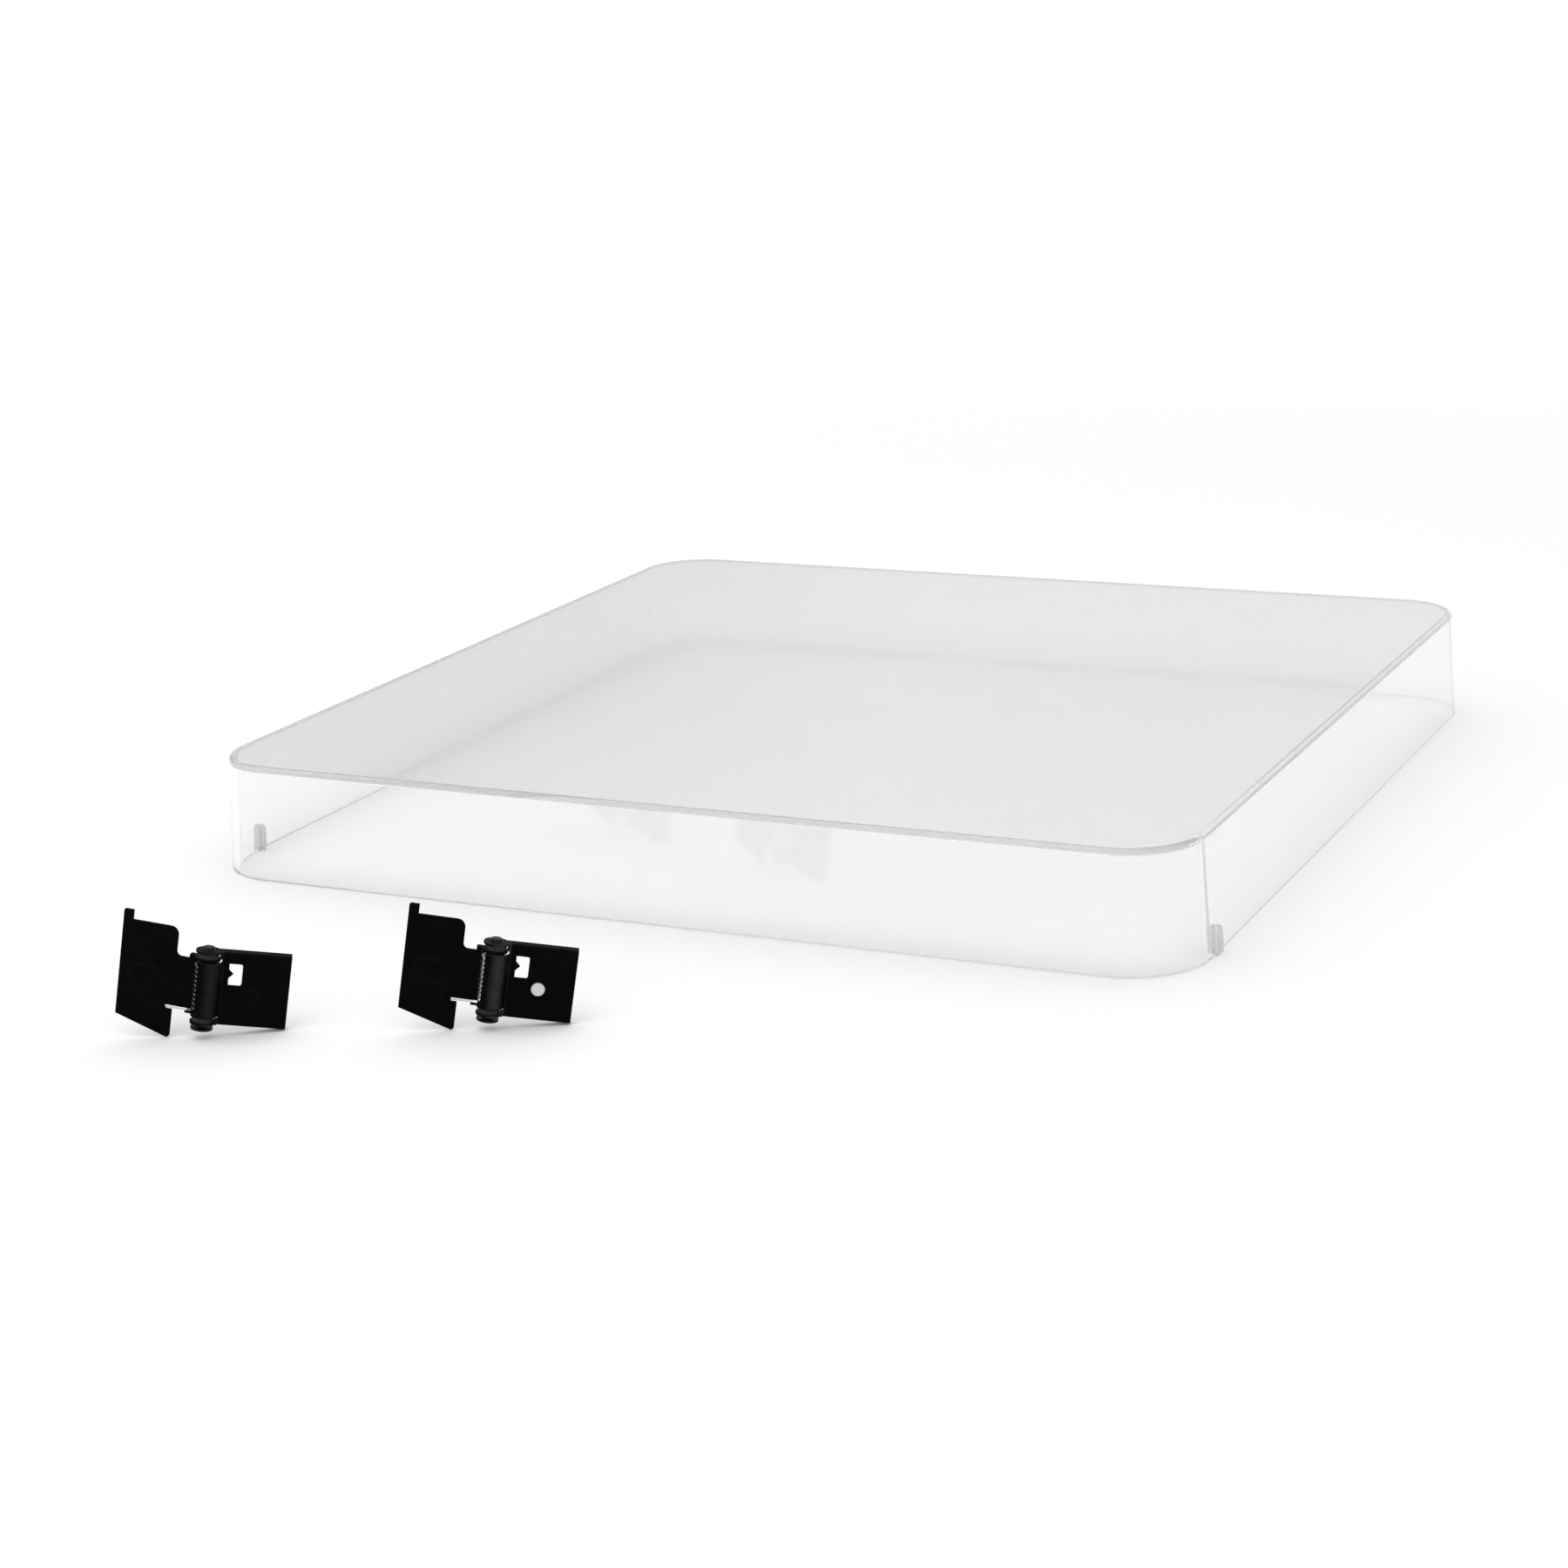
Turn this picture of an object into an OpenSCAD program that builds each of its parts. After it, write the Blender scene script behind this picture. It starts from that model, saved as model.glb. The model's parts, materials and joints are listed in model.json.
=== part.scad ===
// Clear dust cover for a record deck, with its pair of sprung plug-in hinges standing loose in front of it.
// Millimetres, +Z up. The origin is the middle of the cover's open rim, on the surface that it stands on.

/* [Dust cover] */
// Width of the cover at its rim, left to right
cover_w = 430; // [300:1:520]
// Depth of the cover at its rim, front to back
cover_d = 430; // [300:1:520]
// Height of the cover
cover_h = 48.3; // [30:0.1:90]
// Thickness of the clear sheet
cover_wall = 3; // [2:0.1:4.5]
// Radius of the upright corners, measured at the rim
corner_r = 31.5; // [20:0.5:60]
// Lean of the walls, inwards towards the top
draft = 3.2; // [0.5:0.1:6]
// Rounding of the top edge, outside
edge_r = 2; // [1:0.1:4]

/* [Bumpers] */
// Width of a bumper along the wall
bumper_w = 6.4; // [5:0.1:12]
// Height of a bumper, from rim to round top
bumper_h = 11; // [9:0.1:22]
// Thickness of a bumper's leg on each face of the wall
bumper_leg = 1.2; // [0.8:0.1:3]
// Thickness of a bumper's foot under the wall
bumper_foot = 0.8; // [0.4:0.1:2]
// Distance from the cover's front to the middle of a bumper
bumper_from_front = 39; // [38:0.5:90]
// Gap between a bumper and the wall that it grips
bumper_gap = 0.03; // [0.01:0.01:0.1]

/* [Hinge sheet metal] */
// Thickness of the steel sheet
sheet = 0.8; // [0.5:0.05:1]
// Inside radius of the bent corners
bend_r = 0.4; // [0.2:0.1:1]
// Radius of the ears around the pin
ear_r = 4.5; // [2.8:0.1:4.6]
// Gap between the spring and the lid leaf that swings round it
swing_gap = 0.3; // [0.2:0.1:1]
// Width of the root where each ear of the lid leaf bends off
root_w = 1.8; // [1.2:0.1:3]
// Distance from the pin's axis to the free edge of the neck's curl behind the spring
back_free = 3; // [1.5:0.1:4]

/* [Hinge barrel] */
// Diameter of the hinge pin
pin_d = 2.4; // [1.8:0.1:2.6]
// Diameter of the pin's round head
pin_head_d = 5; // [3.6:0.1:7]
// Thickness of the pin's head
pin_head_t = 1.2; // [0.6:0.1:2]
// Diameter of the pin's spread lower end
pin_foot_d = 8; // [3.6:0.1:9]
// Thickness of the pin's spread lower end
pin_foot_t = 0.7; // [0.4:0.1:1.5]
// Length of the rolled cover over the spring
barrel_l = 20.2; // [16:0.1:30]
// Gap between the spring and the rolled cover
barrel_gap = 0.3; // [0.2:0.05:0.6]
// Distance from the pin's axis to the free edge of the rolled cover
barrel_free = 3.4; // [2.4:0.1:3.8]
// Distance from the pin's axis to where the rolled cover meets the base leaf
barrel_root = 5.4; // [5.1:0.1:5.6]
// Gap along the pin between pieces that turn on each other
end_gap = 0.1; // [0.05:0.05:0.3]
// Gap around the pin in the ears that turn on it
run_gap = 0.05; // [0.02:0.01:0.09]
// Gap around the pin in the ears that hold it
hold_gap = 0.02; // [0.01:0.01:0.05]
// Thickness of a friction washer
washer_t = 1.8; // [0.8:0.1:3]
// Diameter of a friction washer
washer_d = 7.8; // [5:0.1:10]
// Gap between a friction washer and the base leaf's shoulder beside it
washer_gap = 0.2; // [0.1:0.05:0.6]
// Diameter of the push-on nut
nut_d = 5.6; // [4:0.1:10]
// Thickness of the push-on nut
nut_t = 0.8; // [0.4:0.1:1.5]
// Bare length of pin between the nut and the spread end
pin_tail = 0.6; // [0.3:0.1:3]

/* [Hinge spring] */
// Diameter of the spring wire
wire_d = 1; // [0.6:0.05:1.1]
// Diameter of the sleeve that guides the spring
guide_d = 6.6; // [5.4:0.1:7]
// Gap between the sleeve and the inside of the spring
spring_gap = 0.3; // [0.2:0.05:0.4]
// Number of curls in the spring
curls = 11; // [5:1:13]
// Gap at each end of the spring
spring_end_gap = 0.3; // [0.15:0.05:0.6]
// Reach of the spring's straight leg in front of the lid leaf, from the pin's axis
leg_reach = 13.6; // [9:0.1:14]
// Length of the hook at the spring's upper end, which bears on the free edge of the rolled cover
spring_hook = 1.3; // [0.8:0.1:1.6]

/* [Lid leaf] */
// Distance from the pin's axis to the near edge of the lid leaf
leaf_near = 11.5; // [9.5:0.1:14]
// Distance from the pin's axis to the far edge of the lid leaf
leaf_far = 32; // [28:0.1:40]
// Height of the lid leaf above the middle of the barrel
leaf_up = 20.2; // [17:0.1:26]
// Depth of the lid leaf below the middle of the barrel, at its near edge
leaf_down = 21.3; // [17:0.1:26]
// Rise of the slanted lower edge, from the near edge to the far edge
leaf_slant = 5.8; // [3:0.1:9]
// Width and height of the hook on the far upper corner
hook = 3.6; // [2:0.1:5]
// Radius of the hook's outer corner
hook_r = 0.8; // [0.2:0.1:2]
// Radius of the near upper corner
leaf_corner_r = 3; // [1:0.1:5]
// Radius of the near lower corner
leaf_heel_r = 1.2; // [0.5:0.1:2.5]
// Height of the neck above the middle of the barrel
neck_up = 9.7; // [6:0.1:9.8]
// Depth of the neck below the middle of the barrel
neck_down = 9.7; // [6:0.1:9.9]
// Radius of the inside corner above the neck
neck_r = 1.8; // [0.8:0.1:3]
// Height of the slot that frees the neck from the leaf below it
slot_h = 0.9; // [0.6:0.1:2]
// Length of the slot
slot_l = 2.2; // [1:0.1:4]
// Length of the oval raised in the lid leaf
oval_l = 14.4; // [11:0.1:17]
// Width of the oval raised in the lid leaf
oval_w = 9.2; // [6:0.1:12]
// Height that the oval stands proud
oval_t = 0.6; // [0.3:0.05:1]

/* [Base leaf] */
// Distance from the pin's axis to the far edge of the base leaf
base_far = 29.4; // [24:0.1:40]
// Depth of the base leaf's channel, from its front to the edges of its flanges
flange_d = 4.5; // [3.6:0.1:8]
// Radius of the window's corners
window_r = 0.8; // [0.3:0.1:1.5]
// Width of the window
window_w = 6.7; // [5:0.1:10]
// Height of the window
window_h = 8.1; // [6:0.1:10]
// Distance from the pin's axis to the near edge of the window
window_near = 5.7; // [5.7:0.1:8]
// Height of the window's lower edge above the middle of the barrel
window_up = 1.6; // [-1:0.1:3]
// Width of the catch behind the near edge of the window
catch_w = 2; // [1:0.1:3]
// Length of the pointed tongue on the catch
tongue = 1.6; // [0.8:0.1:2.5]
// Diameter of the round snap bump
bump_d = 5.3; // [3:0.1:7]
// Height that the snap bump stands proud
bump_t = 0.5; // [0.2:0.05:1]
// Distance from the pin's axis to the middle of the snap bump
bump_out = 16.5; // [15.5:0.1:24]
// Depth of the snap bump below the middle of the barrel
bump_down = 1.9; // [0:0.1:8]

/* [Where the hinges stand] */
// Place of the first hinge, left to right
hinge_1_x = -95.8; // [-180:0.1:-80]
// Place of the first hinge in front of the middle of the cover
hinge_1_y = -376.5; // [-420:0.1:-330]
// Turn of the first hinge about the vertical
hinge_1_yaw = 35.2; // [0:0.1:45]
// Angle at which the first hinge stands open, from flat
hinge_1_open_angle = 17.5; // [0:0.1:40]
// Place of the second hinge, left to right
hinge_2_x = -2.1; // [-10:0.1:120]
// Place of the second hinge in front of the middle of the cover
hinge_2_y = -334.7; // [-420:0.1:-320]
// Turn of the second hinge about the vertical
hinge_2_yaw = 29.3; // [0:0.1:45]
// Angle at which the second hinge stands open, from flat
hinge_2_open_angle = 4.3; // [0:0.1:40]

/* [Hidden] */
$fn = 64;
EPS = 0.01;
PLACES = [[hinge_1_x, hinge_1_y], [hinge_2_x, hinge_2_y]];
YAWS = [hinge_1_yaw, hinge_2_yaw];
OPEN = [hinge_1_open_angle, hinge_2_open_angle];
clear_acrylic = [0.93, 0.95, 0.96, 0.35];
satin_black = [0.09, 0.09, 0.1];
bare_steel = [0.55, 0.55, 0.56];
black_nylon = [0.06, 0.06, 0.065];

// The cover's section at a wall, with the rounded top edge: r runs outwards from a corner's centre
lean = tan(draft);
inner_edge_r = max(edge_r - cover_wall / 2, 0.5);
wall_across = cover_wall / cos(draft);
corner_x = cover_w / 2 - corner_r;
corner_y = cover_d / 2 - corner_r;

// The hinge stack, measured from the middle of the barrel
pin_r = pin_d / 2;
spring_r = guide_d / 2 + spring_gap + wire_d / 2;
cover_in = spring_r + wire_d / 2 + barrel_gap;
cover_out = cover_in + sheet;
barrel_half = barrel_l / 2;
lid_ear_in = barrel_half + end_gap;
lid_ear_out = lid_ear_in + sheet;
washer_in = lid_ear_out + end_gap / 2;
base_ear_in = washer_in + washer_t + end_gap / 2;
base_half = base_ear_in + sheet;
head_at = base_half + end_gap / 2;
nut_at = base_half + end_gap / 2 + nut_t;
foot_at = nut_at + pin_tail;
pin_low = foot_at + pin_foot_t;
root_near = spring_r + wire_d / 2 + swing_gap;
root_far = root_near + root_w;
back_out = root_near + sheet;

// The base leaf's plate stands forward of the pin, where the rolled cover runs out into it
plate_y = -sqrt(cover_out * cover_out - barrel_root * barrel_root);
channel_near = barrel_root - sheet / 2;
shoulder_near = min(washer_d / 2 + washer_gap, channel_near);

// The torsion spring
spring_half = barrel_half - spring_end_gap - wire_d / 2;
CURL_RINGS = 8;
WIRE_SIDES = 6;
hook_away = wire_d / 2 + end_gap;
leg_away = sheet / 2 + hook_away;
curl_to = -360 * curls + 180 + acos(barrel_free / cover_in) - asin(hook_away / cover_in);
function leg_end(n) = [
    -leg_reach * cos(OPEN[n]) - leg_away * sin(OPEN[n]),
    leg_reach * sin(OPEN[n]) - leg_away * cos(OPEN[n])
];
function curl_from(n) = 180 + asin(leg_away / spring_r) - OPEN[n];

// Each hinge stands on its lid leaf's heel and on its base leaf's far lower corner
heel_out = leaf_near + leaf_heel_r;
function heel_across(n) = heel_out * cos(OPEN[n]);
function stand_lean(n) = atan((leaf_down - base_half) / (heel_across(n) + base_far));
function stand_h(n) = base_half * cos(stand_lean(n)) + base_far * sin(stand_lean(n));

// Points on an arc, from one angle to the other
function arc(c, r, a0, a1, n = 8) =
    [for (i = [0:n]) c + r * [cos(a0 + (a1 - a0) * i / n), sin(a0 + (a1 - a0) * i / n)]];

// Half section of a drafted wall and its top, rounded where they meet
module wall_section(foot_r, top, round_r, reach) {
    round_z = top - round_r;
    round_x = foot_r - round_z * lean - round_r / cos(draft);
    polygon([
        [-reach, 0], [foot_r, 0],
        [round_x + round_r * cos(draft), round_z + round_r * sin(draft)],
        [round_x, top], [-reach, top]
    ]);
    translate([round_x, round_z]) circle(r = round_r);
}

// A drafted block with rounded corners and a rounded top edge
module drafted_block(foot_r, top, round_r) {
    for (side = [-1, 1]) {
        // front and back runs, out from the middle
        rotate([0, 0, side * 90]) rotate([90, 0, 0]) translate([corner_y, 0, -corner_x])
            linear_extrude(height = 2 * corner_x) wall_section(foot_r, top, round_r, corner_y);
        // left and right runs
        rotate([0, 0, side > 0 ? 0 : 180]) rotate([90, 0, 0]) translate([corner_x, 0, -corner_y])
            linear_extrude(height = 2 * corner_y) wall_section(foot_r, top, round_r, 0);
        for (end = [-1, 1])
            translate([side * corner_x, end * corner_y, 0])
                rotate([0, 0, side > 0 ? (end > 0 ? 0 : 270) : (end > 0 ? 90 : 180)])
                    rotate_extrude(angle = 90) wall_section(foot_r, top, round_r, 0);
    }
}

// Places a bumper's parts against the outside of the left wall (side -1) or the right wall (side 1),
// with x running outwards from the wall's outer face and z up along it
module at_bumper(side) {
    translate([side * cover_w / 2, -cover_d / 2 + bumper_from_front, 0])
        rotate([0, 0, side > 0 ? 0 : 180]) rotate([0, -draft, 0]) children();
}

// Upright plate with a half-round top, lying in x from x0 to x1
module round_top_plate(x0, x1, w, h) {
    rotate([90, 0, 90]) translate([0, 0, x0]) linear_extrude(height = x1 - x0) {
        translate([-w / 2, -w]) square([w, h - w / 2 + w]);
        translate([0, h - w / 2]) circle(d = w);
    }
}

// Everything below the surface that the cover stands on
module below_ground() {
    translate([-cover_w, -2 * cover_d, -cover_h]) cube([2 * cover_w, 4 * cover_d, cover_h]);
}

module cover_shell() {
    color(clear_acrylic) difference() {
        drafted_block(corner_r, cover_h, edge_r);
        drafted_block(corner_r - wall_across, cover_h - cover_wall, inner_edge_r);
        // the rim is notched for each bumper's foot
        for (side = [-1, 1]) at_bumper(side)
            translate([-2 * cover_wall, -bumper_w / 2 - bumper_gap, -cover_wall])
                cube([3 * cover_wall, bumper_w + 2 * bumper_gap, cover_wall + bumper_foot + bumper_gap]);
    }
}

module bumper(side) {
    difference() {
        at_bumper(side) difference() {
            round_top_plate(-cover_wall - bumper_gap - bumper_leg, bumper_gap + bumper_leg, bumper_w, bumper_h);
            translate([-cover_wall - bumper_gap, -bumper_w, bumper_foot])
                cube([cover_wall + 2 * bumper_gap, 2 * bumper_w, 2 * bumper_h]);
        }
        below_ground();
    }
}

module left_bumper() { color(clear_acrylic) bumper(-1); }
module right_bumper() { color(clear_acrylic) bumper(1); }

// A hinge's own frame: pin along z, base leaf towards +x, seen from -y
module in_hinge(n) {
    translate([PLACES[n][0], PLACES[n][1], stand_h(n)])
        rotate([0, 0, YAWS[n]]) rotate([0, stand_lean(n), 0]) children();
}

// Flat sheet standing in the xz plane, its front at y = 0
module upright_sheet(t = sheet) {
    translate([0, t, 0]) rotate([90, 0, 0]) linear_extrude(height = t) children();
}

// Section of the base leaf: a shallow channel with rounded bends
module channel_section() {
    out_r = bend_r + sheet;
    difference() {
        union() {
            translate([0, -base_half + out_r]) square([out_r, 2 * (base_half - out_r)]);
            translate([out_r, -base_half]) square([flange_d - out_r, 2 * base_half]);
            for (s = [-1, 1]) translate([out_r, s * (base_half - out_r)]) circle(r = out_r);
        }
        translate([sheet, -base_half + out_r]) square([flange_d, 2 * (base_half - out_r)]);
        translate([out_r, -base_half + sheet]) square([flange_d, 2 * (base_half - sheet)]);
        for (s = [-1, 1]) translate([out_r, s * (base_half - out_r)]) circle(r = bend_r);
    }
}

module base_ear(z) {
    translate([0, 0, z]) linear_extrude(height = sheet) difference() {
        union() {
            circle(r = ear_r);
            translate([0, plate_y]) square([channel_near + EPS, flange_d]);
        }
        circle(r = pin_r + hold_gap);
    }
}

// A rectangle with rounded corners, its near lower corner at the origin
module round_rect(w, h, r) {
    translate([r, 0]) square([w - 2 * r, h]);
    translate([0, r]) square([w, h - 2 * r]);
    for (x = [r, w - r], y = [r, h - r]) translate([x, y]) circle(r = r);
}

module base_leaf() {
    translate([0, plate_y, 0]) {
        difference() {
            // the plate and its two flanges
            translate([channel_near, 0, 0]) rotate([90, 0, 90])
                linear_extrude(height = base_far - channel_near) channel_section();
            translate([0, -sheet, 0]) upright_sheet(3 * sheet)
                translate([window_near, window_up]) round_rect(window_w, window_h, window_r);
        }
        // the catch set back behind the window, with its pointed tongue
        catch_mid = window_up + window_h / 2;
        translate([0, sheet, 0]) upright_sheet() {
            translate([window_near - sheet, window_up - sheet]) square([catch_w + sheet, window_h + 2 * sheet]);
            polygon([
                [window_near + catch_w, catch_mid - tongue], [window_near + catch_w + tongue, catch_mid],
                [window_near + catch_w, catch_mid + tongue]
            ]);
        }
        // the snap bump
        translate([bump_out, 0, -bump_down]) rotate([90, 0, 0])
            cylinder(d1 = bump_d, d2 = bump_d - 2 * bump_t, h = bump_t);
    }
    // the cover rolled over the front of the spring
    translate([0, 0, -barrel_half]) linear_extrude(height = barrel_l) intersection() {
        difference() {
            circle(r = cover_out);
            circle(r = cover_in);
        }
        translate([-barrel_free, -cover_out - EPS])
            square([barrel_free + barrel_root, cover_out + EPS + plate_y + sheet / 2]);
    }
    for (z = [base_ear_in, -base_half]) base_ear(z);
    // the plate's shoulders beside the washers
    for (s = [0, 1]) mirror([0, 0, s]) translate([shoulder_near, plate_y, washer_in])
        cube([channel_near + EPS - shoulder_near, sheet, base_ear_in + EPS - washer_in]);
}

// Outline of the lid leaf with its neck, x running outwards from the pin
module lid_leaf_outline() {
    polygon(concat(
        [[root_near, -lid_ear_out], [root_far, -lid_ear_out], [root_far, -neck_down]],
        [[leaf_near + slot_l, -neck_down], [leaf_near + slot_l, -neck_down - slot_h]],
        [[leaf_near, -neck_down - slot_h]],
        arc([leaf_near + leaf_heel_r, -leaf_down + leaf_heel_r], leaf_heel_r, 180, 270),
        [[leaf_far, -leaf_down + leaf_slant]],
        arc([leaf_far - hook_r, leaf_up + hook - hook_r], hook_r, 0, 90),
        [[leaf_far - hook, leaf_up + hook], [leaf_far - hook, leaf_up]],
        arc([leaf_near + leaf_corner_r, leaf_up - leaf_corner_r], leaf_corner_r, 90, 180),
        arc([leaf_near - neck_r, neck_up + neck_r], neck_r, 0, -90),
        [[root_far, neck_up], [root_far, lid_ear_out], [root_near, lid_ear_out]]
    ));
}

// A raised oval with sloping sides, its base at y = 0
module raised_oval(l, w, t) {
    run = l - w;
    rotate([90, 0, 0]) {
        for (s = [-1, 1]) translate([s * run / 2, 0, 0]) cylinder(d1 = w, d2 = w - 2 * t, h = t);
        translate([-run / 2, 0, 0]) rotate([90, 0, 90]) linear_extrude(height = run)
            polygon([[-w / 2, 0], [w / 2, 0], [w / 2 - t, t], [-w / 2 + t, t]]);
    }
}

module lid_ear(z) {
    translate([0, 0, z]) linear_extrude(height = sheet) difference() {
        union() {
            circle(r = ear_r);
            translate([-root_far, -sheet / 2]) square([root_far, sheet / 2 + ear_r / 2]);
        }
        circle(r = pin_r + run_gap);
    }
}

module lid_leaf(n) {
    rotate([0, 0, -OPEN[n]]) {
        translate([0, -sheet / 2, 0]) {
            mirror([1, 0, 0]) upright_sheet() lid_leaf_outline();
            translate([-(leaf_near + leaf_far) / 2, 0, 0]) raised_oval(oval_l, oval_w, oval_t);
        }
        for (z = [lid_ear_in, -lid_ear_out]) lid_ear(z);
        // the neck's curl behind the spring
        translate([0, 0, -neck_down]) linear_extrude(height = neck_down + neck_up) intersection() {
            difference() {
                circle(r = back_out);
                circle(r = root_near);
            }
            translate([-back_out - EPS, 0]) square([back_out + EPS - back_free, back_out + EPS]);
        }
    }
}

module pin() {
    translate([0, 0, -pin_low]) cylinder(r = pin_r, h = pin_low + head_at + pin_head_t);
    translate([0, 0, head_at]) cylinder(d1 = pin_head_d, d2 = pin_head_d - pin_head_t, h = pin_head_t);
    translate([0, 0, -pin_low]) cylinder(d = pin_foot_d, h = pin_foot_t);
}

module ring(d, t, gap) {
    difference() {
        cylinder(d = d, h = t);
        translate([0, 0, -EPS]) cylinder(r = pin_r + gap, h = t + 2 * EPS);
    }
}

// Middle line of the spring: a leg in front of the lid leaf's neck, the curls, and a hook pointing outwards
function curl_point(n, t) =
    let (a = curl_from(n) + (curl_to - curl_from(n)) * t)
    [spring_r * cos(a), spring_r * sin(a), -spring_half + 2 * spring_half * t];
LEG_STEPS = 3;
function spring_rings(n) = ceil((curl_from(n) - curl_to) / 360 * CURL_RINGS);
function leg_tip(n) = [leg_end(n)[0], leg_end(n)[1], -spring_half];
function spring_line(n) = concat(
    [for (i = [0:LEG_STEPS - 1]) leg_tip(n) + (curl_point(n, 0) - leg_tip(n)) * i / LEG_STEPS],
    [for (i = [0:spring_rings(n)]) curl_point(n, i / spring_rings(n))],
    [curl_point(n, 1) + spring_hook * [cos(curl_to), sin(curl_to), 0]]
);

function unit(v) = v / norm(v);
function heading(line, i) =
    unit(line[min(i + 1, len(line) - 1)] - line[max(i - 1, 0)]);
function ring_at(line, i, r) =
    let (d = heading(line, i), a = unit(cross(d, [0, 0, 1])), b = cross(a, d))
    [for (k = [0:WIRE_SIDES - 1])
        line[i] + r * (cos(360 * k / WIRE_SIDES) * a + sin(360 * k / WIRE_SIDES) * b)];

// An unbroken tube along a line of points
module tube(line, r) {
    rings = len(line);
    points = [for (i = [0:rings - 1]) each ring_at(line, i, r)];
    sides = [for (i = [0:rings - 2]) for (k = [0:WIRE_SIDES - 1])
        let (a = i * WIRE_SIDES + k, b = i * WIRE_SIDES + (k + 1) % WIRE_SIDES)
        each [[a, b, a + WIRE_SIDES], [b, b + WIRE_SIDES, a + WIRE_SIDES]]];
    ends = [for (k = [1:WIRE_SIDES - 2])
        each [[0, k + 1, k], let (e = (rings - 1) * WIRE_SIDES) [e, e + k, e + k + 1]]];
    polyhedron(points = points, faces = concat(sides, ends));
}

// Least gap of a spring to itself, from points half a curl or more apart along the wire
function self_gap(line) = min([for (i = [0:len(line) - 1]) for (k = [i + CURL_RINGS / 2:1:len(line) - 1])
    norm(line[i] - line[k])]) - wire_d;
echo(spring_self_gap = min(self_gap(spring_line(0)), self_gap(spring_line(1))));

module hinge_base_leaf(n) { color(satin_black) in_hinge(n) base_leaf(); }
module hinge_lid_leaf(n) { color(satin_black) in_hinge(n) lid_leaf(n); }
module hinge_pin(n) { color(bare_steel) in_hinge(n) pin(); }
module hinge_spring(n) { color(bare_steel) in_hinge(n) tube(spring_line(n), wire_d / 2); }
module hinge_spring_guide(n) {
    color(black_nylon) in_hinge(n) translate([0, 0, -barrel_half]) ring(guide_d, barrel_l, run_gap);
}
module hinge_upper_washer(n) {
    color(black_nylon) in_hinge(n) translate([0, 0, washer_in]) ring(washer_d, washer_t, run_gap);
}
module hinge_lower_washer(n) {
    color(black_nylon) in_hinge(n) translate([0, 0, -washer_in - washer_t]) ring(washer_d, washer_t, run_gap);
}
module hinge_push_nut(n) {
    color(bare_steel) in_hinge(n) translate([0, 0, -nut_at]) ring(nut_d, nut_t, hold_gap);
}

cover_shell();
left_bumper();
right_bumper();
hinge_base_leaf(0);  // hinge_1_base_leaf
hinge_lid_leaf(0);  // hinge_1_lid_leaf
hinge_pin(0);  // hinge_1_pin
hinge_spring(0);  // hinge_1_spring
hinge_spring_guide(0);  // hinge_1_spring_guide
hinge_upper_washer(0);  // hinge_1_upper_washer
hinge_lower_washer(0);  // hinge_1_lower_washer
hinge_push_nut(0);  // hinge_1_push_nut
hinge_base_leaf(1);  // hinge_2_base_leaf
hinge_lid_leaf(1);  // hinge_2_lid_leaf
hinge_pin(1);  // hinge_2_pin
hinge_spring(1);  // hinge_2_spring
hinge_spring_guide(1);  // hinge_2_spring_guide
hinge_upper_washer(1);  // hinge_2_upper_washer
hinge_lower_washer(1);  // hinge_2_lower_washer
hinge_push_nut(1);  // hinge_2_push_nut
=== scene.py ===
import json
import math

import bpy
from mathutils import Matrix, Vector


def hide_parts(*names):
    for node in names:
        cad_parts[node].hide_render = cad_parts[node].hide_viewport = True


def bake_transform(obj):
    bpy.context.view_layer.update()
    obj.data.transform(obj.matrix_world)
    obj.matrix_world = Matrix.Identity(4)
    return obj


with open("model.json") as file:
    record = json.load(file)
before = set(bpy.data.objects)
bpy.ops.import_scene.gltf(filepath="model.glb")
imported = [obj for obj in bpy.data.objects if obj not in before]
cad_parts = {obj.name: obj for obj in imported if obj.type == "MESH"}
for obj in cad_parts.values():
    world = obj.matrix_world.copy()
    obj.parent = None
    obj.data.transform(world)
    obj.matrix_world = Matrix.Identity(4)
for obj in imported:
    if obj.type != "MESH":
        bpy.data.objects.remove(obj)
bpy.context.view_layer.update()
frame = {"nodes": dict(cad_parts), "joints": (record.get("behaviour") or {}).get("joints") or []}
NODES = frame["nodes"]
JOINTS = {joint["name"]: joint for joint in frame["joints"]}

# Camera, in metres and degrees: where it stands, and how it is turned, for the photograph's view
CAMERA_PLACE = (0.5537, -1.2273, 0.3832)
CAMERA_AZIMUTH = 26.1
CAMERA_ELEVATION = 15.88
CAMERA_ROLL = -2.43
CAMERA_LENS_MM = 71.5
CAMERA_SENSOR_MM = 36.0

# Light levels: white as seen, and the plain level on the object
WHITE_SEEN = 1.0
SKY_ON_OBJECT = 0.93

# The greys behind the object that the cover mirrors: the way to each, its level, and the cosines of its fade
BEHIND = (-0.44, 0.9, 0.0)
BEHIND_LEVEL = 0.68
BEHIND_FADE = (0.3, 0.7)
BEHIND_LEFT = (-0.9, 0.436, 0.0)
BEHIND_LEFT_LEVEL = 0.47
BEHIND_LEFT_FADE = (0.74, 0.85)

# Softbox above the object, in metres and watts
SOFTBOX_WATTS = 9.0
SOFTBOX_SIZE = 1.6
SOFTBOX_PLACE = (-0.5, -0.7, 1.9)
SOFTBOX_AIM = (0.0, -0.1, 0.0)

# Floor: its own colour near the object, plain white further out
FLOOR_COLOUR = (0.95, 0.95, 0.95, 1.0)
FLOOR_HALF = 30.0
FLOOR_DROP = 0.0004
FLOOR_FADE_FROM = 0.55
FLOOR_FADE_TO = 1.3
FLOOR_MIDDLE = (0.0, -0.1, 0.0)

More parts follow.
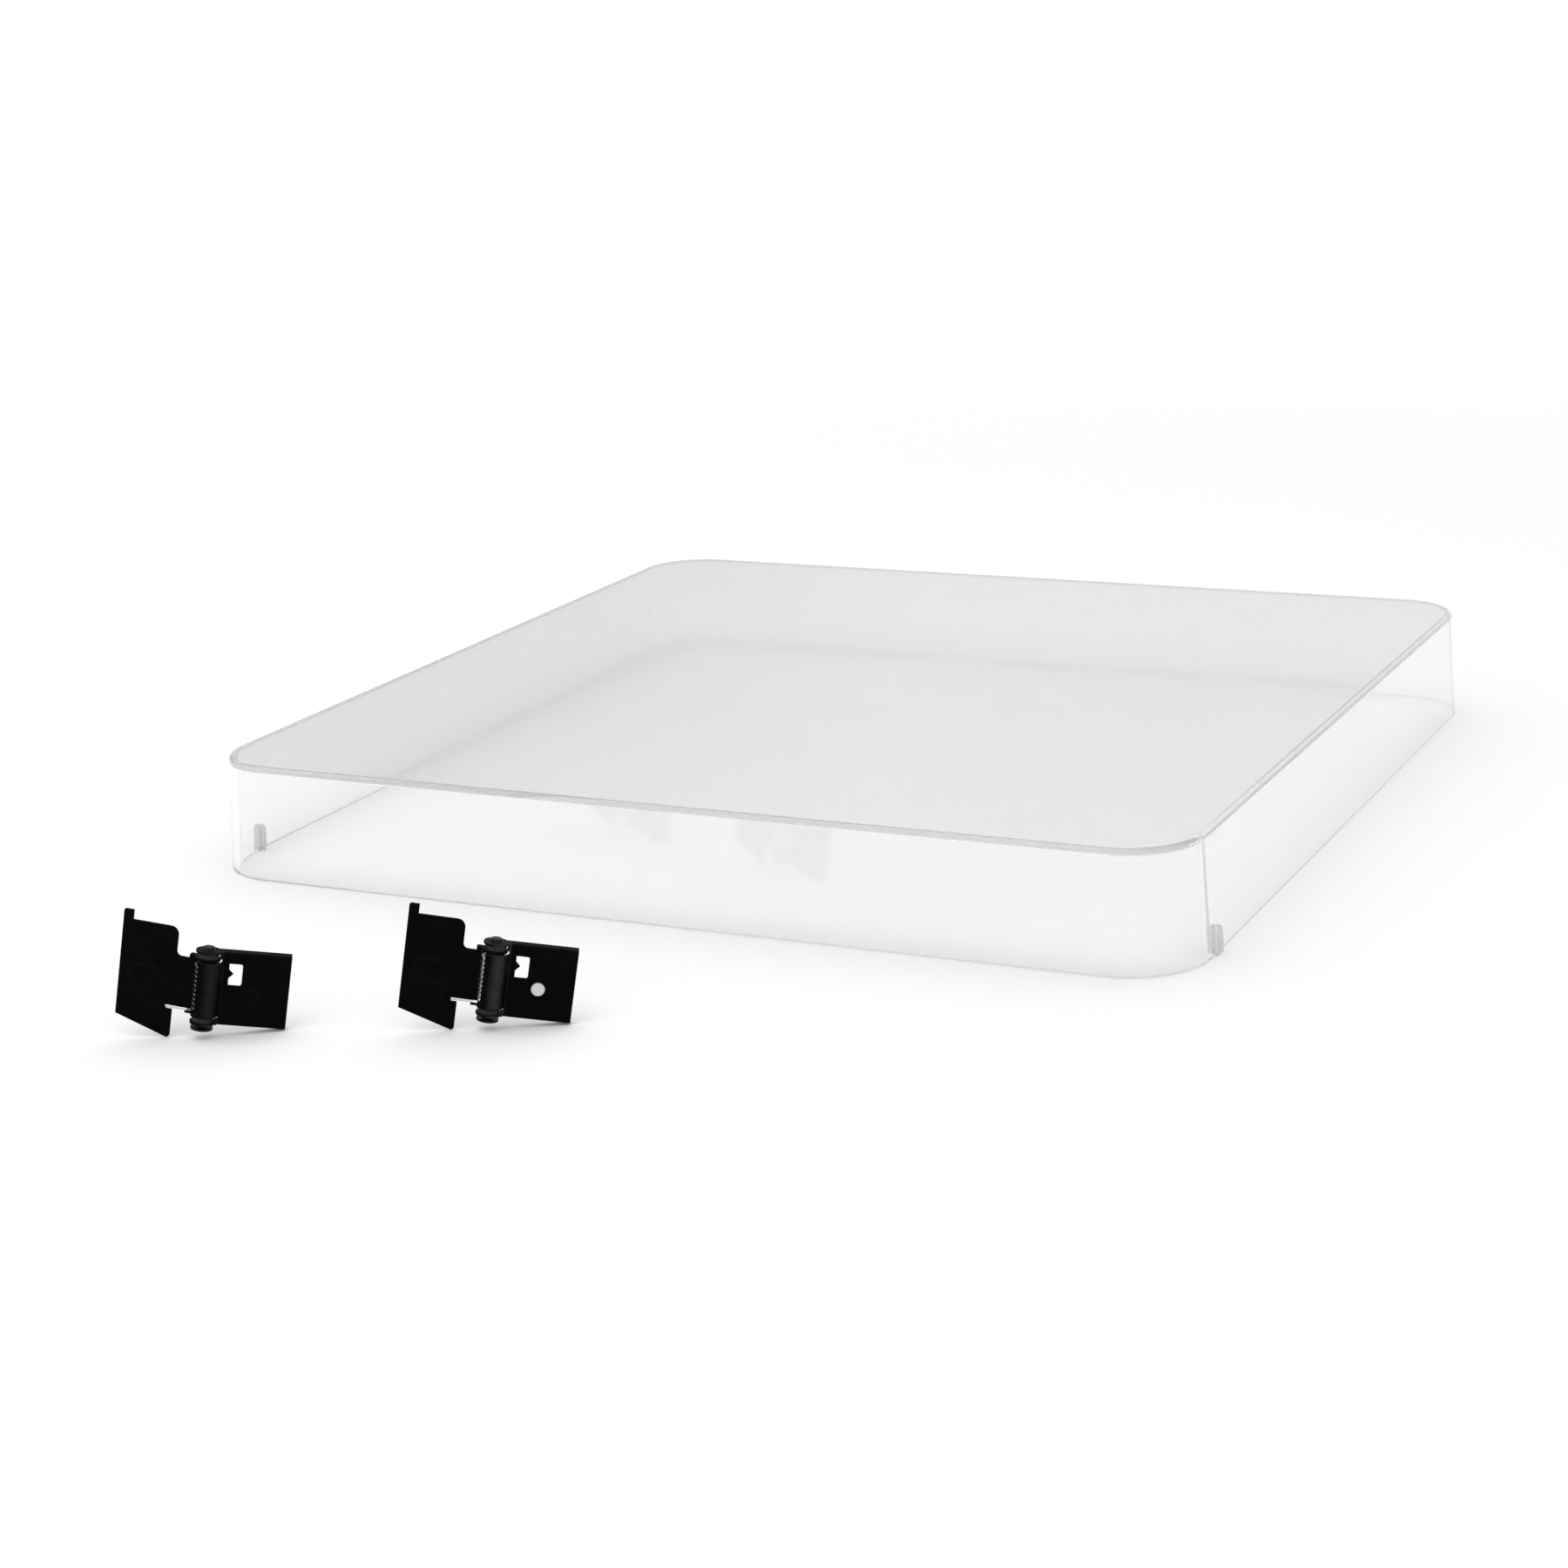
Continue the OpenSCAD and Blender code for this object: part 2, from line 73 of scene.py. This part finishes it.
# Clear plastics: tint, least and most roughness, light taken by the body, and turns of a ray inside the sheet
ACRYLIC_TINT = (0.961, 0.963, 0.963, 1.0)
ACRYLIC_IOR = 1.49
ACRYLIC_ROUGHNESS = (0.03, 0.06)
ACRYLIC_SMOKE = 0.3
RAY_TURNS = 300
BUMPER_TINT = (0.72, 0.725, 0.73, 1.0)
BUMPER_IOR = 1.45
BUMPER_ROUGHNESS = (0.12, 0.25)

# Blackened steel, wire and nylon: by hinge where the two differ, and those differences are painted light: the
# barrel's painted highlight and the curls' painted shade and highlight
BLACK = (0.0008, 0.0008, 0.0009, 1.0)
BLACK_RUBBED = (0.0025, 0.0025, 0.0027, 1.0)
# the lighter strip down each barrel is a painted highlight, fainter on the first hinge, which stands in less
# light
BARREL_PAINTED_HIGHLIGHT = {1: (0.014, 0.014, 0.0145, 1.0), 2: (0.034, 0.034, 0.035, 1.0)}
BARREL_HIGHLIGHT_FROM = (-0.3, 0.2)
BARREL_HIGHLIGHT_TO = (0.75, 0.45)
# lighter edges: partly wear on the black finish, partly a painted highlight where an edge turns to the light
EDGE_WEAR_AND_HIGHLIGHT = (0.045, 0.045, 0.046, 1.0)
STEEL_WORN = (0.62, 0.62, 0.62, 1.0)
EDGE_ROUNDING = 0.00015
LEG_COLOUR = (0.62, 0.62, 0.61, 1.0)
# the spring wire is one steel, the legs' colour; its curls are painted darker on the first hinge (painted
# shade) and lighter on the second (painted highlight)
CURL_SHADE_AND_HIGHLIGHT = {1: (0.12, 0.12, 0.12, 1.0), 2: (0.95, 0.95, 0.93, 1.0)}
WIRE_ROUGHNESS = 0.3
PIN_COLOUR = (0.012, 0.012, 0.0125, 1.0)
PIN_ROUGHNESS = 0.38
NYLON_COLOUR = (0.012, 0.012, 0.013, 1.0)

# The springs, in metres in a hinge's own frame, as the solids have them
MM = 0.001
SHEET = 0.8 * MM
END_GAP = 0.1 * MM
WIRE_R = 0.5 * MM
COIL_R = 4.1 * MM
COIL_HALF = 9.3 * MM
COIL_CURLS = 11
COVER_IN = 4.9 * MM
COVER_FREE = 3.4 * MM
LEG_REACH = 13.6 * MM
HOOK_LENGTH = 1.3 * MM
WIRE_POINTS = 900
WIRE_SIDES = 20

# The rolled barrel, and the snap bump with the rubbed spot on it, in the same frame
BARREL_REACH = 5.9 * MM
PLATE_Y = -1.82 * MM
BUMP_PLACE = (16.5 * MM, PLATE_Y - 0.5 * MM, -1.9 * MM)
BUMP_WORN_REACH = 2.6 * MM


def hinge_matrix(number):
    """From a hinge's own frame to the part's: x along the base leaf, y away from the viewer, z up the pin."""
    joint = JOINTS[f"hinge_{number}_turn"]
    pin = -Vector(joint["axis"]).normalized()
    level = Vector((pin.x, pin.y, 0.0)).normalized()
    right = (level - pin * level.dot(pin)).normalized()
    turn = Matrix((right, pin.cross(right), pin)).transposed().to_4x4()
    return Matrix.Translation(joint["pos_m"]) @ turn


def hinge_open(number):
    """How far a hinge stands open at rest, in radians: its joint's way back to flat."""
    return -math.radians(JOINTS[f"hinge_{number}_turn"]["range_deg"][0])


class Sheet:
    """A material's node tree, with short ways to add nodes to it."""

    def __init__(self, name):
        self.material = bpy.data.materials.new(name)
        self.material.use_nodes = True
        self.tree = self.material.node_tree
        self.tree.nodes.clear()
        self.output = self.tree.nodes.new("ShaderNodeOutputMaterial")
        self.place = self.tree.nodes.new("ShaderNodeTexCoord").outputs["Object"]

    def add(self, kind, **values):
        node = self.tree.nodes.new(kind)
        for name, value in values.items():
            setattr(node, name, value)
        return node

    def join(self, source, target):
        self.tree.links.new(source, target)

    def noise(self, scale, detail=3.0, roughness=0.5):
        node = self.add("ShaderNodeTexNoise")
        node.inputs["Scale"].default_value = scale
        node.inputs["Detail"].default_value = detail
        node.inputs["Roughness"].default_value = roughness
        self.join(self.place, node.inputs["Vector"])
        return node.outputs["Fac"]

    def remap(self, source, low, high, to_low, to_high):
        """Maps the range from low to high onto the one from to_low to to_high, and holds the ends."""
        node = self.add("ShaderNodeMapRange", clamp=True)
        self.join(source, node.inputs["Value"])
        for name, value in (("From Min", low), ("From Max", high), ("To Min", to_low), ("To Max", to_high)):
            node.inputs[name].default_value = value
        return node.outputs["Result"]

    def math(self, operation, first, second):
        node = self.add("ShaderNodeMath", operation=operation)
        for socket, value in zip(node.inputs, (first, second)):
            if isinstance(value, (int, float)):
                socket.default_value = value
            else:
                self.join(value, socket)
        return node.outputs["Value"]

    def mix_colour(self, factor, first, second):
        node = self.add("ShaderNodeMix", data_type="RGBA")
        self.join(factor, node.inputs["Factor"])
        for socket, value in ((node.inputs[6], first), (node.inputs[7], second)):
            if isinstance(value, tuple):
                socket.default_value = value
            else:
                self.join(value, socket)
        return node.outputs[2]

    def bump(self, height, strength, distance, normal):
        node = self.add("ShaderNodeBump")
        node.inputs["Strength"].default_value = strength
        node.inputs["Distance"].default_value = distance
        self.join(height, node.inputs["Height"])
        self.join(normal, node.inputs["Normal"])
        return node.outputs["Normal"]

    def principled(self, **values):
        node = self.add("ShaderNodeBsdfPrincipled")
        for name, value in values.items():
            node.inputs[name.replace("_", " ")].default_value = value
        return node

    def near(self, point, reach_in, reach_out):
        """1 within reach_in of a point, 0 beyond reach_out."""
        node = self.add("ShaderNodeVectorMath", operation="DISTANCE")
        self.join(self.place, node.inputs[0])
        node.inputs[1].default_value = point
        return self.remap(node.outputs["Value"], reach_in, reach_out, 1.0, 0.0)

    def near_line(self, point, direction, reach):
        """1 near a line through a point, fading to 0 at its reach."""
        from_point = self.add("ShaderNodeVectorMath", operation="SUBTRACT")
        self.join(self.place, from_point.inputs[0])
        from_point.inputs[1].default_value = point
        across = self.add("ShaderNodeVectorMath", operation="CROSS_PRODUCT")
        self.join(from_point.outputs["Vector"], across.inputs[0])
        across.inputs[1].default_value = direction
        far = self.add("ShaderNodeVectorMath", operation="LENGTH")
        self.join(across.outputs["Vector"], far.inputs[0])
        return self.remap(far.outputs["Value"], reach * 0.97, reach, 1.0, 0.0)

    def facing(self, direction, low, high):
        """0 to 1 as a face turns towards a direction, by the cosine between them."""
        node = self.add("ShaderNodeVectorMath", operation="DOT_PRODUCT")
        self.join(self.add("ShaderNodeNewGeometry").outputs["Normal"], node.inputs[0])
        node.inputs[1].default_value = direction
        return self.remap(node.outputs["Value"], low, high, 0.0, 1.0)

    def turned_from_face(self, normal):
        """0 on a flat face, up to 1 where a rounded normal turns away from it, on an edge."""
        node = self.add("ShaderNodeVectorMath", operation="DOT_PRODUCT")
        self.join(normal, node.inputs[0])
        self.join(self.add("ShaderNodeNewGeometry").outputs["True Normal"], node.inputs[1])
        return self.remap(node.outputs["Value"], 0.98, 0.8, 0.0, 1.0)


def clear_plastic(name, tint, ior, roughness, smoke):
    """Clear moulded plastic: lamps shine through it, its polish varies, and its body takes a little light."""
    s = Sheet(name)
    shader = s.principled(Base_Color=tint, Transmission_Weight=1.0, IOR=ior)
    polish = s.noise(scale=22.0, detail=4.0, roughness=0.6)
    s.join(s.remap(polish, 0.35, 0.7, *roughness), shader.inputs["Roughness"])
    through = s.add("ShaderNodeBsdfTransparent")
    through.inputs["Color"].default_value = (1.0, 1.0, 1.0, 1.0)
    rays = s.add("ShaderNodeLightPath")
    mix = s.add("ShaderNodeMixShader")
    s.join(rays.outputs["Is Shadow Ray"], mix.inputs["Fac"])
    s.join(shader.outputs["BSDF"], mix.inputs[1])
    s.join(through.outputs["BSDF"], mix.inputs[2])
    s.join(mix.outputs["Shader"], s.output.inputs["Surface"])
    if smoke:
        body = s.add("ShaderNodeVolumeAbsorption")
        body.inputs["Color"].default_value = (0.0, 0.0, 0.0, 1.0)
        body.inputs["Density"].default_value = smoke
        s.join(body.outputs["Volume"], s.output.inputs["Volume"])
    return s.material


def black_steel(name, barrel=None, worn_spots=()):
    """Satin black finish on steel: cloudy polish, edges lightened partly by wear and partly as a painted
    highlight, spots worn to the metal, and, when a barrel is given, a painted highlight along it.

    barrel: a hinge's frame, and the colour of the painted highlight strip along its barrel.
    """
    s = Sheet(name)
    shader = s.principled(Specular_IOR_Level=0.025)
    cloud = s.remap(s.noise(scale=180.0, detail=5.0, roughness=0.65), 0.35, 0.75, 0.0, 1.0)
    colour = s.mix_colour(cloud, BLACK, BLACK_RUBBED)
    roughness = s.remap(s.noise(scale=420.0, detail=4.0, roughness=0.6), 0.3, 0.7, 0.38, 0.56)
    # painted highlight: a lighter strip down the side of the barrel turned along the leaf, with a cloudy tone
    # in it
    if barrel:
        place, highlight_colour = barrel
        on_barrel = s.near_line(place @ Vector(), place.to_3x3() @ Vector((0, 0, 1)), BARREL_REACH)
        along_leaf = place.to_3x3() @ Vector((1, 0, 0))
        highlight_in = s.facing(along_leaf, *BARREL_HIGHLIGHT_FROM)
        highlight_strip = s.math("MULTIPLY", highlight_in, s.facing(along_leaf, *BARREL_HIGHLIGHT_TO))
        painted_highlight = s.math("MULTIPLY", highlight_strip, s.remap(cloud, 0.0, 1.0, 0.6, 1.0))
        colour = s.mix_colour(s.math("MULTIPLY", on_barrel, painted_highlight), colour, highlight_colour)
    edges = s.add("ShaderNodeBevel")
    edges.inputs["Radius"].default_value = EDGE_ROUNDING
    # edges made lighter: partly wear, partly a painted highlight
    colour = s.mix_colour(s.turned_from_face(edges.outputs["Normal"]), colour, EDGE_WEAR_AND_HIGHLIGHT)
    for point, reach in worn_spots:
        worn = s.near(point, reach * 0.9, reach)
        colour = s.mix_colour(worn, colour, STEEL_WORN)
    s.join(colour, shader.inputs["Base Color"])
    s.join(roughness, shader.inputs["Roughness"])
    grain = s.noise(scale=2600.0, detail=2.0)
    rough_normal = s.bump(grain, strength=0.12, distance=0.0002, normal=edges.outputs["Normal"])
    s.join(rough_normal, shader.inputs["Normal"])
    s.join(shader.outputs["BSDF"], s.output.inputs["Surface"])
    return s.material


def bare_metal(name, colour, roughness, further_out=None):
    """Bare or oiled metal with cloudy streaks.

    further_out: a hinge's frame, and the colour away from its pin.
    """
    s = Sheet(name)
    shader = s.principled(Metallic=1.0)
    streaks = s.noise(scale=900.0, roughness=0.6)
    shade = s.remap(streaks, 0.35, 0.7, 0.0, 1.0)
    tone = s.mix_colour(shade, colour, tuple(min(1.0, c * 1.6) for c in colour[:3]) + (1.0,))
    if further_out:
        place, far_colour = further_out
        on_pin = s.near_line(place @ Vector(), place.to_3x3() @ Vector((0, 0, 1)), BARREL_REACH)
        tone = s.mix_colour(on_pin, far_colour, tone)
    s.join(tone, shader.inputs["Base Color"])
    s.join(s.remap(streaks, 0.3, 0.7, roughness - 0.08, roughness + 0.1), shader.inputs["Roughness"])
    s.join(shader.outputs["BSDF"], s.output.inputs["Surface"])
    return s.material


def nylon(name):
    """Dull black nylon."""
    s = Sheet(name)
    shader = s.principled(Base_Color=NYLON_COLOUR, Specular_IOR_Level=0.3)
    s.join(s.remap(s.noise(scale=700.0), 0.3, 0.7, 0.5, 0.65), shader.inputs["Roughness"])
    s.join(shader.outputs["BSDF"], s.output.inputs["Surface"])
    return s.material


def dress(node, material):
    """Gives a CAD node its finish."""
    mesh = NODES[node].data
    mesh.materials.clear()
    mesh.materials.append(material)


class Tree:
    """A Geometry Nodes tree with named inputs, and short ways to add nodes to it."""

    def __init__(self, name):
        self.group = bpy.data.node_groups.new(name, "GeometryNodeTree")
        self.group.interface.new_socket("Geometry", in_out="OUTPUT", socket_type="NodeSocketGeometry")
        self.sockets = {}
        self.inputs = None

    def declare(self, **kinds):
        for name, kind in kinds.items():
            socket = self.group.interface.new_socket(name, in_out="INPUT", socket_type="NodeSocket" + kind)
            self.sockets[name] = socket.identifier
        self.inputs = self.group.nodes.new("NodeGroupInput").outputs

    def add(self, kind, sources=(), **values):
        """Adds a node and feeds it: sources are pairs of an input's name or number and a value or socket."""
        node = self.group.nodes.new(kind)
        for name, value in values.items():
            setattr(node, name, value)
        for key, value in sources:
            socket = node.inputs[key]
            if isinstance(value, bpy.types.NodeSocket):
                self.group.links.new(value, socket)
            else:
                socket.default_value = value
        return node.outputs

    def math(self, operation, first, second=0.0):
        return self.add("ShaderNodeMath", ((0, first), (1, second)), operation=operation)[0]

    def along(self, way, start, end):
        """0 before start, 1 after end, and even between them."""
        sources = (("Value", way), ("From Min", start), ("From Max", end))
        return self.add("ShaderNodeMapRange", sources)["Result"]

    def scaled(self, vector, factor):
        return self.add("ShaderNodeVectorMath", ((0, vector), ("Scale", factor)), operation="SCALE")[0]

    def summed(self, first, second):
        return self.add("ShaderNodeVectorMath", ((0, first), (1, second)), operation="ADD")[0]

    def finish(self, geometry):
        self.group.links.new(geometry, self.group.nodes.new("NodeGroupOutput").inputs["Geometry"])


def spring_tree():
    """A torsion spring: a straight leg out from the curls, the curls up the pin, and a hook outwards."""
    t = Tree("torsion_spring")
    t.declare(
        CoilRadius="Float", WireRadius="Float", HalfHeight="Float", StartAngle="Float", TurnedAngle="Float",
        Leg="Vector", Hook="Vector", Points="Int", Sides="Int", Material="Material",
    )
    given = t.inputs
    leg_length = t.add("ShaderNodeVectorMath", ((0, given["Leg"]),), operation="LENGTH")["Value"]
    hook_length = t.add("ShaderNodeVectorMath", ((0, given["Hook"]),), operation="LENGTH")["Value"]
    coil_length = t.math("MULTIPLY", given["CoilRadius"], t.math("ABSOLUTE", given["TurnedAngle"]))
    coil_end = t.math("ADD", leg_length, coil_length)
    whole = t.math("ADD", coil_end, hook_length)
    line = t.add("GeometryNodeCurvePrimitiveLine")["Curve"]
    line = t.add("GeometryNodeResampleCurve", (("Curve", line), ("Count", given["Points"])))["Curve"]
    way = t.math("MULTIPLY", t.add("GeometryNodeSplineParameter")["Factor"], whole)

    # how far along the leg, the curls and the hook a point of the wire is
    on_leg = t.along(way, 0.0, leg_length)
    on_coil = t.along(way, leg_length, coil_end)
    on_hook = t.along(way, coil_end, whole)
    angle = t.math("ADD", given["StartAngle"], t.math("MULTIPLY", given["TurnedAngle"], on_coil))
    across = t.math("MULTIPLY", given["CoilRadius"], t.math("COSINE", angle))
    away = t.math("MULTIPLY", given["CoilRadius"], t.math("SINE", angle))
    rise = t.math("MULTIPLY", given["HalfHeight"], t.math("SUBTRACT", t.math("MULTIPLY", on_coil, 2.0), 1.0))
    curl = t.add("ShaderNodeCombineXYZ", (("X", across), ("Y", away), ("Z", rise)))["Vector"]
    leg = t.scaled(given["Leg"], t.math("SUBTRACT", 1.0, on_leg))
    place = t.summed(t.summed(curl, leg), t.scaled(given["Hook"], on_hook))

    line = t.add("GeometryNodeSetPosition", (("Geometry", line), ("Position", place)))["Geometry"]
    section = t.add(
        "GeometryNodeCurvePrimitiveCircle", (("Resolution", given["Sides"]), ("Radius", given["WireRadius"]))
    )["Curve"]
    wire = t.add(
        "GeometryNodeCurveToMesh", (("Curve", line), ("Profile Curve", section), ("Fill Caps", True))
    )["Mesh"]
    wire = t.add("GeometryNodeRealizeInstances", (("Geometry", wire),))["Geometry"]
    wire = t.add("GeometryNodeSetMaterial", (("Geometry", wire), ("Material", given["Material"])))["Geometry"]
    t.finish(wire)
    return t


def make_spring(number, tree, material):
    """A smooth round-wire spring in place of the solid one, which twists between the two leaves."""
    to_part = hinge_matrix(number)
    away = WIRE_R + END_GAP
    leg_away = SHEET / 2 + away
    leaf_turn = -hinge_open(number)
    leg_tip = Matrix.Rotation(leaf_turn, 3, "Z") @ Vector((-LEG_REACH, -leg_away, 0.0))
    start = math.pi + math.asin(leg_away / COIL_R) + leaf_turn
    free_edge = math.pi + math.acos(COVER_FREE / COVER_IN)
    end = -2 * math.pi * COIL_CURLS + free_edge - math.asin(away / COVER_IN)
    values = dict(
        CoilRadius=COIL_R, WireRadius=WIRE_R, HalfHeight=COIL_HALF, StartAngle=start, TurnedAngle=end - start,
        Leg=leg_tip - COIL_R * Vector((math.cos(start), math.sin(start), 0.0)),
        Hook=HOOK_LENGTH * Vector((math.cos(end), math.sin(end), 0.0)),
        Points=WIRE_POINTS, Sides=WIRE_SIDES, Material=material,
    )
    carrier = bpy.data.objects.new("spring_carrier", bpy.data.meshes.new("spring_carrier"))
    bpy.context.scene.collection.objects.link(carrier)
    modifier = carrier.modifiers.new("spring", "NODES")
    modifier.node_group = tree.group
    for name, value in values.items():
        modifier[tree.sockets[name]] = value
    depsgraph = bpy.context.evaluated_depsgraph_get()
    mesh = bpy.data.meshes.new_from_object(carrier.evaluated_get(depsgraph), depsgraph=depsgraph)
    bpy.data.objects.remove(carrier)
    mesh.transform(to_part)
    mesh.shade_smooth()
    spring = bpy.data.objects.new(f"hinge_{number}_round_spring", mesh)
    bpy.context.scene.collection.objects.link(spring)
    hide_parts(f"hinge_{number}_spring")
    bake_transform(spring)


def dress_all():
    """Gives every piece its finish, and puts the round springs in."""
    acrylic = clear_plastic("clear_acrylic", ACRYLIC_TINT, ACRYLIC_IOR, ACRYLIC_ROUGHNESS, ACRYLIC_SMOKE)
    cloudy = clear_plastic("cloudy_bumper", BUMPER_TINT, BUMPER_IOR, BUMPER_ROUGHNESS, 0.0)
    dress("cover_shell", acrylic)
    for side in ("left", "right"):
        dress(f"{side}_bumper", cloudy)
    plain_steel = black_steel("lid_leaf_black")
    worn_spot = (hinge_matrix(2) @ Vector(BUMP_PLACE), BUMP_WORN_REACH)
    first_steel = black_steel("first_base_black", (hinge_matrix(1), BARREL_PAINTED_HIGHLIGHT[1]))
    second_steel = black_steel("second_base_black", (hinge_matrix(2), BARREL_PAINTED_HIGHLIGHT[2]), [worn_spot])
    pin_metal = bare_metal("pin_blackened", PIN_COLOUR, PIN_ROUGHNESS)
    washer = nylon("black_nylon")
    tree = spring_tree()
    for number, base_steel in ((1, first_steel), (2, second_steel)):
        dress(f"hinge_{number}_base_leaf", base_steel)
        dress(f"hinge_{number}_lid_leaf", plain_steel)
        for node in ("pin", "push_nut"):
            dress(f"hinge_{number}_{node}", pin_metal)
        for node in ("spring_guide", "upper_washer", "lower_washer"):
            dress(f"hinge_{number}_{node}", washer)
        leg = (hinge_matrix(number), LEG_COLOUR)
        # the curls near the pin take their hinge's painted shade or painted highlight; the leg keeps the
        # wire's own colour
        wire = bare_metal(f"spring_wire_{number}", CURL_SHADE_AND_HIGHLIGHT[number], WIRE_ROUGHNESS, leg)
        make_spring(number, tree, wire)


def seen_white(tree, light_path):
    """1 for rays that show the background: straight, mirrored or through clear plastic."""
    total = light_path.outputs["Is Camera Ray"]
    for name in ("Is Glossy Ray", "Is Transmission Ray"):
        node = tree.nodes.new("ShaderNodeMath")
        node.operation = "MAXIMUM"
        tree.links.new(total, node.inputs[0])
        tree.links.new(light_path.outputs[name], node.inputs[1])
        total = node.outputs["Value"]
    return total


def make_sky():
    """White where it is seen, a little less on the object, and grey behind it where the cover mirrors it."""
    world = bpy.data.worlds.new("studio_sky")
    world.use_nodes = True
    tree = world.node_tree

    def mapped(source, low, high, to_low, to_high):
        node = tree.nodes.new("ShaderNodeMapRange")
        tree.links.new(source, node.inputs["Value"])
        for name, value in (("From Min", low), ("From Max", high), ("To Min", to_low), ("To Max", to_high)):
            socket = node.inputs[name]
            if isinstance(value, bpy.types.NodeSocket):
                tree.links.new(value, socket)
            else:
                socket.default_value = value
        return node.outputs["Result"]

    def towards(side):
        node = tree.nodes.new("ShaderNodeVectorMath")
        node.operation = "DOT_PRODUCT"
        tree.links.new(tree.nodes.new("ShaderNodeTexCoord").outputs["Generated"], node.inputs[0])
        node.inputs[1].default_value = side
        return node.outputs["Value"]

    rays = tree.nodes.new("ShaderNodeLightPath")
    grey = mapped(towards(BEHIND_LEFT), *BEHIND_LEFT_FADE, BEHIND_LEVEL, BEHIND_LEFT_LEVEL)
    mirrored = mapped(towards(BEHIND), *BEHIND_FADE, WHITE_SEEN, grey)
    seen = mapped(rays.outputs["Is Glossy Ray"], 0.0, 1.0, WHITE_SEEN, mirrored)
    strength = mapped(seen_white(tree, rays), 0.0, 1.0, SKY_ON_OBJECT, seen)
    background = tree.nodes["Background"]
    background.inputs["Color"].default_value = (1.0, 1.0, 1.0, 1.0)
    tree.links.new(strength, background.inputs["Strength"])
    bpy.context.scene.world = world


def make_floor():
    """Matt ground that keeps the object's shadow, and turns plain white further out."""
    mesh = bpy.data.meshes.new("floor")
    h = FLOOR_HALF
    corners = [(-h, -h, -FLOOR_DROP), (h, -h, -FLOOR_DROP), (h, h, -FLOOR_DROP), (-h, h, -FLOOR_DROP)]
    mesh.from_pydata(corners, [], [(0, 1, 2, 3)])
    floor = bpy.data.objects.new("floor", mesh)
    bpy.context.scene.collection.objects.link(floor)
    s = Sheet("pale_floor")
    matt = s.add("ShaderNodeBsdfDiffuse")
    matt.inputs["Color"].default_value = FLOOR_COLOUR
    white = s.add("ShaderNodeEmission")
    white.inputs["Strength"].default_value = WHITE_SEEN
    far = s.math("SUBTRACT", 1.0, s.near(FLOOR_MIDDLE, FLOOR_FADE_FROM, FLOOR_FADE_TO))
    seen = seen_white(s.tree, s.add("ShaderNodeLightPath"))
    mix = s.add("ShaderNodeMixShader")
    s.join(s.math("MULTIPLY", far, seen), mix.inputs["Fac"])
    s.join(matt.outputs["BSDF"], mix.inputs[1])
    s.join(white.outputs["Emission"], mix.inputs[2])
    s.join(mix.outputs["Shader"], s.output.inputs["Surface"])
    mesh.materials.append(s.material)


def make_softbox():
    """One large soft lamp, above and in front."""
    data = bpy.data.lights.new("softbox", "AREA")
    data.energy = SOFTBOX_WATTS
    data.shape = "SQUARE"
    data.size = SOFTBOX_SIZE
    lamp = bpy.data.objects.new("softbox", data)
    lamp.location = SOFTBOX_PLACE
    lamp.rotation_euler = (Vector(SOFTBOX_AIM) - Vector(SOFTBOX_PLACE)).to_track_quat("-Z", "Y").to_euler()
    bpy.context.scene.collection.objects.link(lamp)


def make_camera():
    """The photograph's view."""
    data = bpy.data.cameras.new("camera")
    data.lens = CAMERA_LENS_MM
    data.sensor_width = CAMERA_SENSOR_MM
    data.clip_start = 0.01
    data.clip_end = 100.0
    camera = bpy.data.objects.new("camera", data)
    turn = Matrix.Rotation(math.radians(CAMERA_AZIMUTH), 4, "Z")
    tip = Matrix.Rotation(math.radians(90.0 - CAMERA_ELEVATION), 4, "X")
    roll = Matrix.Rotation(math.radians(CAMERA_ROLL), 4, "Z")
    camera.matrix_world = Matrix.Translation(CAMERA_PLACE) @ turn @ tip @ roll
    bpy.context.scene.collection.objects.link(camera)
    bpy.context.scene.camera = camera


dress_all()
make_sky()
make_floor()
make_softbox()
make_camera()
scene = bpy.context.scene
scene.view_settings.view_transform = "Standard"
# light that runs along inside the clear sheet needs many turns before it comes out at an edge
scene.cycles.max_bounces = RAY_TURNS
scene.cycles.glossy_bounces = RAY_TURNS
scene.cycles.transmission_bounces = RAY_TURNS
